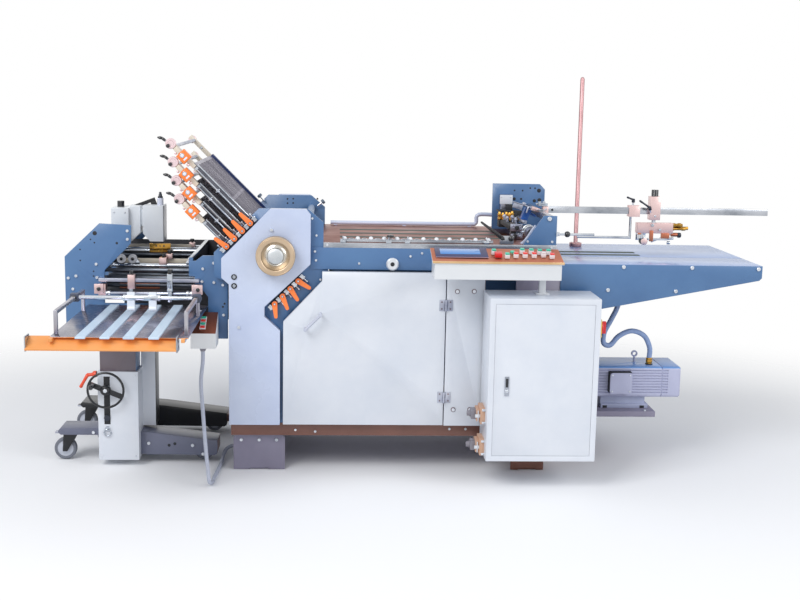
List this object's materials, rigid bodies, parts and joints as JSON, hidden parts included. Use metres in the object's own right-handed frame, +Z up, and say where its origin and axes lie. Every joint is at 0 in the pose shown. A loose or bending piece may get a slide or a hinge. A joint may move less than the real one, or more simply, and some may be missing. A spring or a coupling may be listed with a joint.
{
  "type": "paper folding machine",
  "caption": "Floor-standing paper folding machine with feed table, register table, buckle folding unit, handwheel, control console and castered knife-fold delivery unit.",
  "frame": {"origin": "middle of the left foot's pad, on the floor", "axes": "+X along the machine towards the feed end, +Y away from the operator's side, +Z up"},
  "size_m": [2.804, 1.325, 1.5155],
  "materials": {
    "frame_grey": "semi-gloss enamel",
    "frame_blue": "semi-gloss enamel",
    "cover_pale_blue": "satin enamel",
    "panel_white": "satin powder coat",
    "copper_top": "anodised satin",
    "bright_steel": "satin",
    "dark_steel": "blackened",
    "black_paint": "satin",
    "orange_lever": "gloss",
    "gold_wheel": "turned, gold plated",
    "pink_aluminium": "anodised satin",
    "pump_enamel": "satin enamel",
    "grey_rubber": "matte",
    "white_nylon": "matte",
    "red_plastic": "gloss",
    "green_plastic": "gloss"
  },
  "bodies": {
    "machine": {"base_frame": "frame_grey", "side_frames": "frame_blue", "front_cover": "cover_pale_blue", "rear_cover": "cover_pale_blue", "rear_panel": "frame_blue", "fixed_panel": "panel_white", "register_table": "copper_top", "ball_rail": "bright_steel", "cabinet_body": "panel_white", "control_box": "copper_top", "feeder_frame": "frame_blue", "feed_table": "frame_blue", "gauge_bar": "bright_steel", "stack_rod": "bright_steel", "vacuum_pump": "pump_enamel", "air_hose": "grey_rubber", "lower_buckle_plates": "dark_steel", "buckle_plate_1": "dark_steel", "buckle_plate_2": "dark_steel", "buckle_plate_3": "dark_steel", "buckle_plate_4": "dark_steel", "stand_base": "frame_grey", "stand_column": "panel_white"},
    "main_roller": {"handwheel": "gold_wheel", "fold_roller_1": "dark_steel"},
    "second_roller": {"fold_roller_2": "dark_steel"},
    "access_door": {"access_door": "panel_white"},
    "cabinet_door": {"cabinet_door": "panel_white"},
    "main_switch": {"main_switch": "red_plastic"},
    "delivery_head": {"knife_frame": "frame_blue", "knife_cover": "bright_steel", "delivery_tray": "bright_steel", "stack_guides": "pink_aluminium", "delivery_control_box": "panel_white", "delivery_cable": "grey_rubber"},
    "stand_handwheel": {"stand_handwheel": "black_paint"},
    "stand_clamp_lever": {"stand_clamp_lever": "orange_lever"},
    "press_rollers": {"press_rollers": "white_nylon"},
    "gauge_carriage": {"gauge_carriage": "pink_aluminium"},
    "suction_wheel": {"suction_wheel": "bright_steel"},
    "stop_button": {"stop_button": "red_plastic"},
    "start_button": {"start_button": "green_plastic"},
    "upper_lever_1": {"upper_lever_1": "orange_lever"},
    "upper_lever_2": {"upper_lever_2": "orange_lever"},
    "upper_lever_3": {"upper_lever_3": "orange_lever"},
    "upper_lever_4": {"upper_lever_4": "orange_lever"},
    "lower_lever_1": {"lower_lever_1": "orange_lever"},
    "lower_lever_2": {"lower_lever_2": "orange_lever"},
    "lower_lever_3": {"lower_lever_3": "orange_lever"},
    "lower_lever_4": {"lower_lever_4": "orange_lever"},
    "plate_crank_1": {"plate_crank_1": "pink_aluminium"},
    "plate_crank_2": {"plate_crank_2": "pink_aluminium"},
    "plate_crank_3": {"plate_crank_3": "pink_aluminium"},
    "plate_crank_4": {"plate_crank_4": "pink_aluminium"},
    "caster_fork_front": {"caster_fork_front": "black_paint"},
    "caster_wheel_front_left": {"caster_wheel_front_left": "grey_rubber"},
    "caster_wheel_front_right": {"caster_wheel_front_right": "grey_rubber"},
    "caster_fork_rear": {"caster_fork_rear": "black_paint"},
    "caster_wheel_rear_left": {"caster_wheel_rear_left": "grey_rubber"},
    "caster_wheel_rear_right": {"caster_wheel_rear_right": "grey_rubber"}
  },
  "joints": [
    {"name": "handwheel_spin", "type": "hinge", "parent": "machine", "child": "main_roller", "pos_m": [0.065, 0, 0.836], "axis": [0, 1, 0], "continuous": true},
    {"name": "second_roller_spin", "type": "hinge", "parent": "machine", "child": "second_roller", "pos_m": [0.02922, 0, 0.80022], "axis": [0, 1, 0], "continuous": true},
    {"name": "access_door_hinge", "type": "hinge", "parent": "machine", "child": "access_door", "pos_m": [0.697, -0.371, 0.48], "axis": [0, 0, 1], "range_deg": [0, 95]},
    {"name": "cabinet_door_hinge", "type": "hinge", "parent": "machine", "child": "cabinet_door", "pos_m": [1.2152, -0.575, 0.415], "axis": [0, 0, 1], "range_deg": [0, 110]},
    {"name": "main_switch_turn", "type": "hinge", "parent": "machine", "child": "main_switch", "pos_m": [1.2403, -0.54, 0.608], "axis": [1, 0, 0], "range_deg": [0, 90]},
    {"name": "upper_lever_1_turn", "type": "hinge", "parent": "machine", "child": "upper_lever_1", "pos_m": [-0.031, -0.3508, 0.9488], "axis": [0, -1, 0], "range_deg": [0, 25]},
    {"name": "upper_lever_2_turn", "type": "hinge", "parent": "machine", "child": "upper_lever_2", "pos_m": [-0.05999, -0.3508, 0.91981], "axis": [0, -1, 0], "range_deg": [0, 25]},
    {"name": "upper_lever_3_turn", "type": "hinge", "parent": "machine", "child": "upper_lever_3", "pos_m": [-0.08898, -0.3508, 0.89082], "axis": [0, -1, 0], "range_deg": [0, 25]},
    {"name": "upper_lever_4_turn", "type": "hinge", "parent": "machine", "child": "upper_lever_4", "pos_m": [-0.11797, -0.3508, 0.86182], "axis": [0, -1, 0], "range_deg": [0, 25]},
    {"name": "lower_lever_1_turn", "type": "hinge", "parent": "machine", "child": "lower_lever_1", "pos_m": [0.146, -0.3508, 0.7362], "axis": [0, -1, 0], "range_deg": [0, 18]},
    {"name": "lower_lever_2_turn", "type": "hinge", "parent": "machine", "child": "lower_lever_2", "pos_m": [0.11701, -0.3508, 0.70721], "axis": [0, -1, 0], "range_deg": [0, 18]},
    {"name": "lower_lever_3_turn", "type": "hinge", "parent": "machine", "child": "lower_lever_3", "pos_m": [0.08802, -0.3508, 0.67822], "axis": [0, -1, 0], "range_deg": [0, 18]},
    {"name": "lower_lever_4_turn", "type": "hinge", "parent": "machine", "child": "lower_lever_4", "pos_m": [0.05903, -0.3508, 0.64923], "axis": [0, -1, 0], "range_deg": [0, 18]},
    {"name": "plate_crank_1_turn", "type": "hinge", "parent": "machine", "child": "plate_crank_1", "pos_m": [-0.317, -0.3377, 1.234], "axis": [0, -1, 0], "range_deg": [0, 60]},
    {"name": "plate_crank_2_turn", "type": "hinge", "parent": "machine", "child": "plate_crank_2", "pos_m": [-0.309, -0.3377, 1.168], "axis": [0, -1, 0], "range_deg": [0, 60]},
    {"name": "plate_crank_3_turn", "type": "hinge", "parent": "machine", "child": "plate_crank_3", "pos_m": [-0.298, -0.3377, 1.101], "axis": [0, -1, 0], "range_deg": [0, 60]},
    {"name": "plate_crank_4_turn", "type": "hinge", "parent": "machine", "child": "plate_crank_4", "pos_m": [-0.288, -0.3377, 1.034], "axis": [0, -1, 0], "range_deg": [0, 60]},
    {"name": "delivery_lift", "type": "slide", "parent": "machine", "child": "delivery_head", "axis": [0, 0, 1], "range_m": [-0.015, 0.02]},
    {"name": "stand_handwheel_turn", "type": "hinge", "parent": "delivery_head", "child": "stand_handwheel", "pos_m": [-0.5775, -0.301, 0.304], "axis": [0, 1, 0], "range_deg": [-62, 82]},
    {"name": "stand_clamp_turn", "type": "hinge", "parent": "machine", "child": "stand_clamp_lever", "pos_m": [-0.634, -0.215, 0.347], "axis": [1, 0, 0], "range_deg": [-40, 40]},
    {"name": "press_rollers_swing", "type": "hinge", "parent": "delivery_head", "child": "press_rollers", "pos_m": [-0.3915, -0.582, 0.706], "axis": [1, 0, 0], "range_deg": [-50, 50]},
    {"name": "gauge_slide", "type": "slide", "parent": "machine", "child": "gauge_carriage", "axis": [1, 0, 0], "range_m": [-0.018, 0.4]},
    {"name": "suction_wheel_spin", "type": "hinge", "parent": "machine", "child": "suction_wheel", "pos_m": [1.04, -0.12, 0.908], "axis": [0, 1, 0], "continuous": true},
    {"name": "stop_press", "type": "slide", "parent": "machine", "child": "stop_button", "axis": [0, 0.239, -0.971], "range_m": [0, 0.003], "stiffness_N_per_m": 500, "springref_m": -0.0005},
    {"name": "start_press", "type": "slide", "parent": "machine", "child": "start_button", "axis": [0, 0.239, -0.971], "range_m": [0, 0.003], "stiffness_N_per_m": 400, "springref_m": -0.0005},
    {"name": "caster_swivel_front", "type": "hinge", "parent": "machine", "child": "caster_fork_front", "pos_m": [-0.73, -0.175, 0.11], "axis": [0, 0, 1], "continuous": true},
    {"name": "caster_spin_front_left", "type": "hinge", "parent": "caster_fork_front", "child": "caster_wheel_front_left", "pos_m": [-0.758, -0.175, 0.043], "axis": [0, 1, 0], "continuous": true},
    {"name": "caster_spin_front_right", "type": "hinge", "parent": "machine", "child": "caster_wheel_front_right", "pos_m": [-0.222, -0.175, 0.036], "axis": [0, 1, 0], "continuous": true},
    {"name": "caster_swivel_rear", "type": "hinge", "parent": "machine", "child": "caster_fork_rear", "pos_m": [-0.73, 0.24, 0.11], "axis": [0, 0, 1], "continuous": true},
    {"name": "caster_spin_rear_left", "type": "hinge", "parent": "caster_fork_rear", "child": "caster_wheel_rear_left", "pos_m": [-0.758, 0.24, 0.043], "axis": [0, 1, 0], "continuous": true},
    {"name": "caster_spin_rear_right", "type": "hinge", "parent": "machine", "child": "caster_wheel_rear_right", "pos_m": [-0.222, 0.24, 0.036], "axis": [0, 1, 0], "continuous": true}
  ],
  "couplings": [
    {"joint": "second_roller_spin", "follows": "handwheel_spin", "ratio": -1},
    {"joint": "stand_handwheel_turn", "follows": "delivery_lift", "rad_per_m": 71.429}
  ]
}
